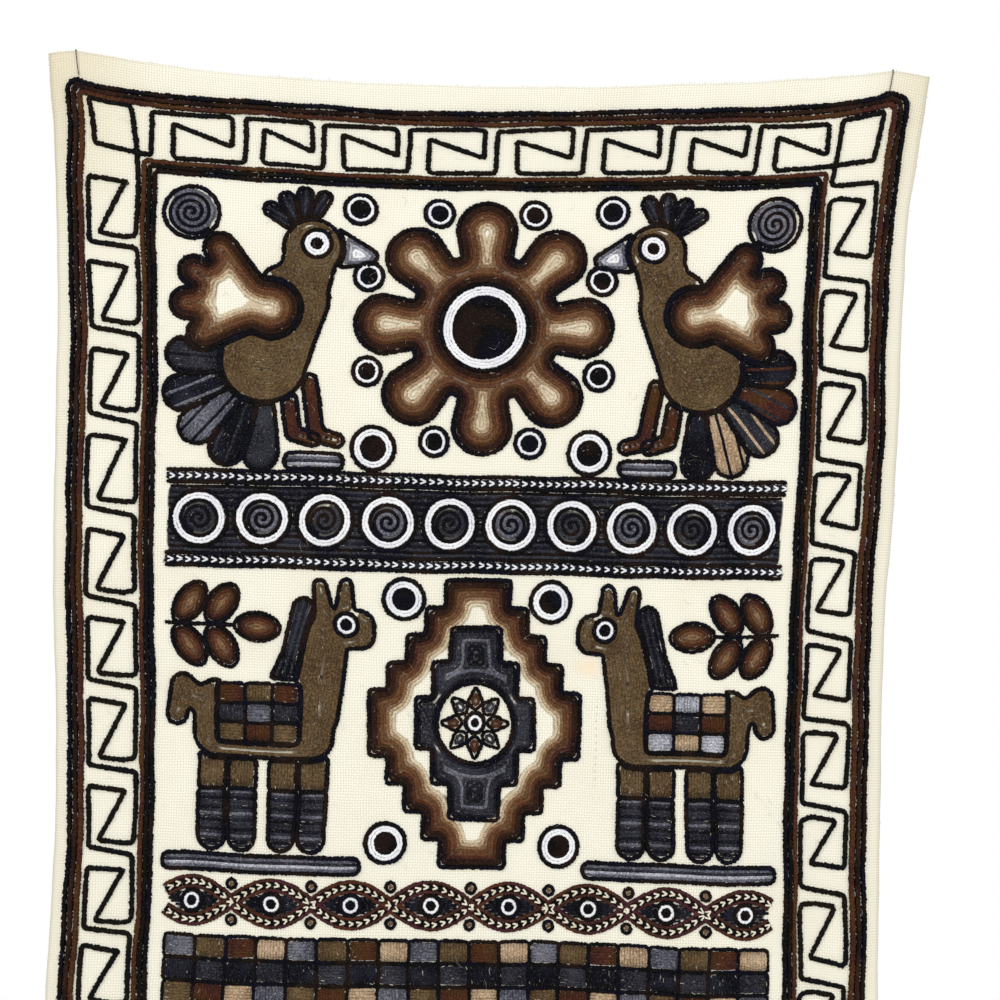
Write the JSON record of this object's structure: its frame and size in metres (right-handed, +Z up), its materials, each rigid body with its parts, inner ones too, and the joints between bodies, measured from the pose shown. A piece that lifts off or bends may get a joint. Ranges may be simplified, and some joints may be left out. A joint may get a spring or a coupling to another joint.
{
  "type": "embroidered woven wall hanging",
  "caption": "Tall cream wool cloth, hung from fine threads at its top corners, worked in dark, brown and grey yarn with a running fret border and geometric motifs.",
  "frame": {"origin": "middle of the cloth's sagging top edge, in the middle of its thickness", "axes": "+Z up, +X to the right of a viewer who faces the worked side, +Y towards the wall"},
  "size_m": [0.6104, 0.0181, 0.9162],
  "materials": {
    "wool_cloth": "matte",
    "hanging_thread": "matte",
    "yarn_black": "matte",
    "yarn_rust": "matte",
    "yarn_brown": "matte",
    "yarn_tan": "matte",
    "yarn_charcoal": "matte",
    "yarn_grey": "matte",
    "yarn_pale_grey": "matte",
    "yarn_white": "matte"
  },
  "bodies": {
    "root": {"cloth": "wool_cloth", "hanging_thread_left": "hanging_thread", "hanging_thread_right": "hanging_thread"}
  },
  "joints": []
}
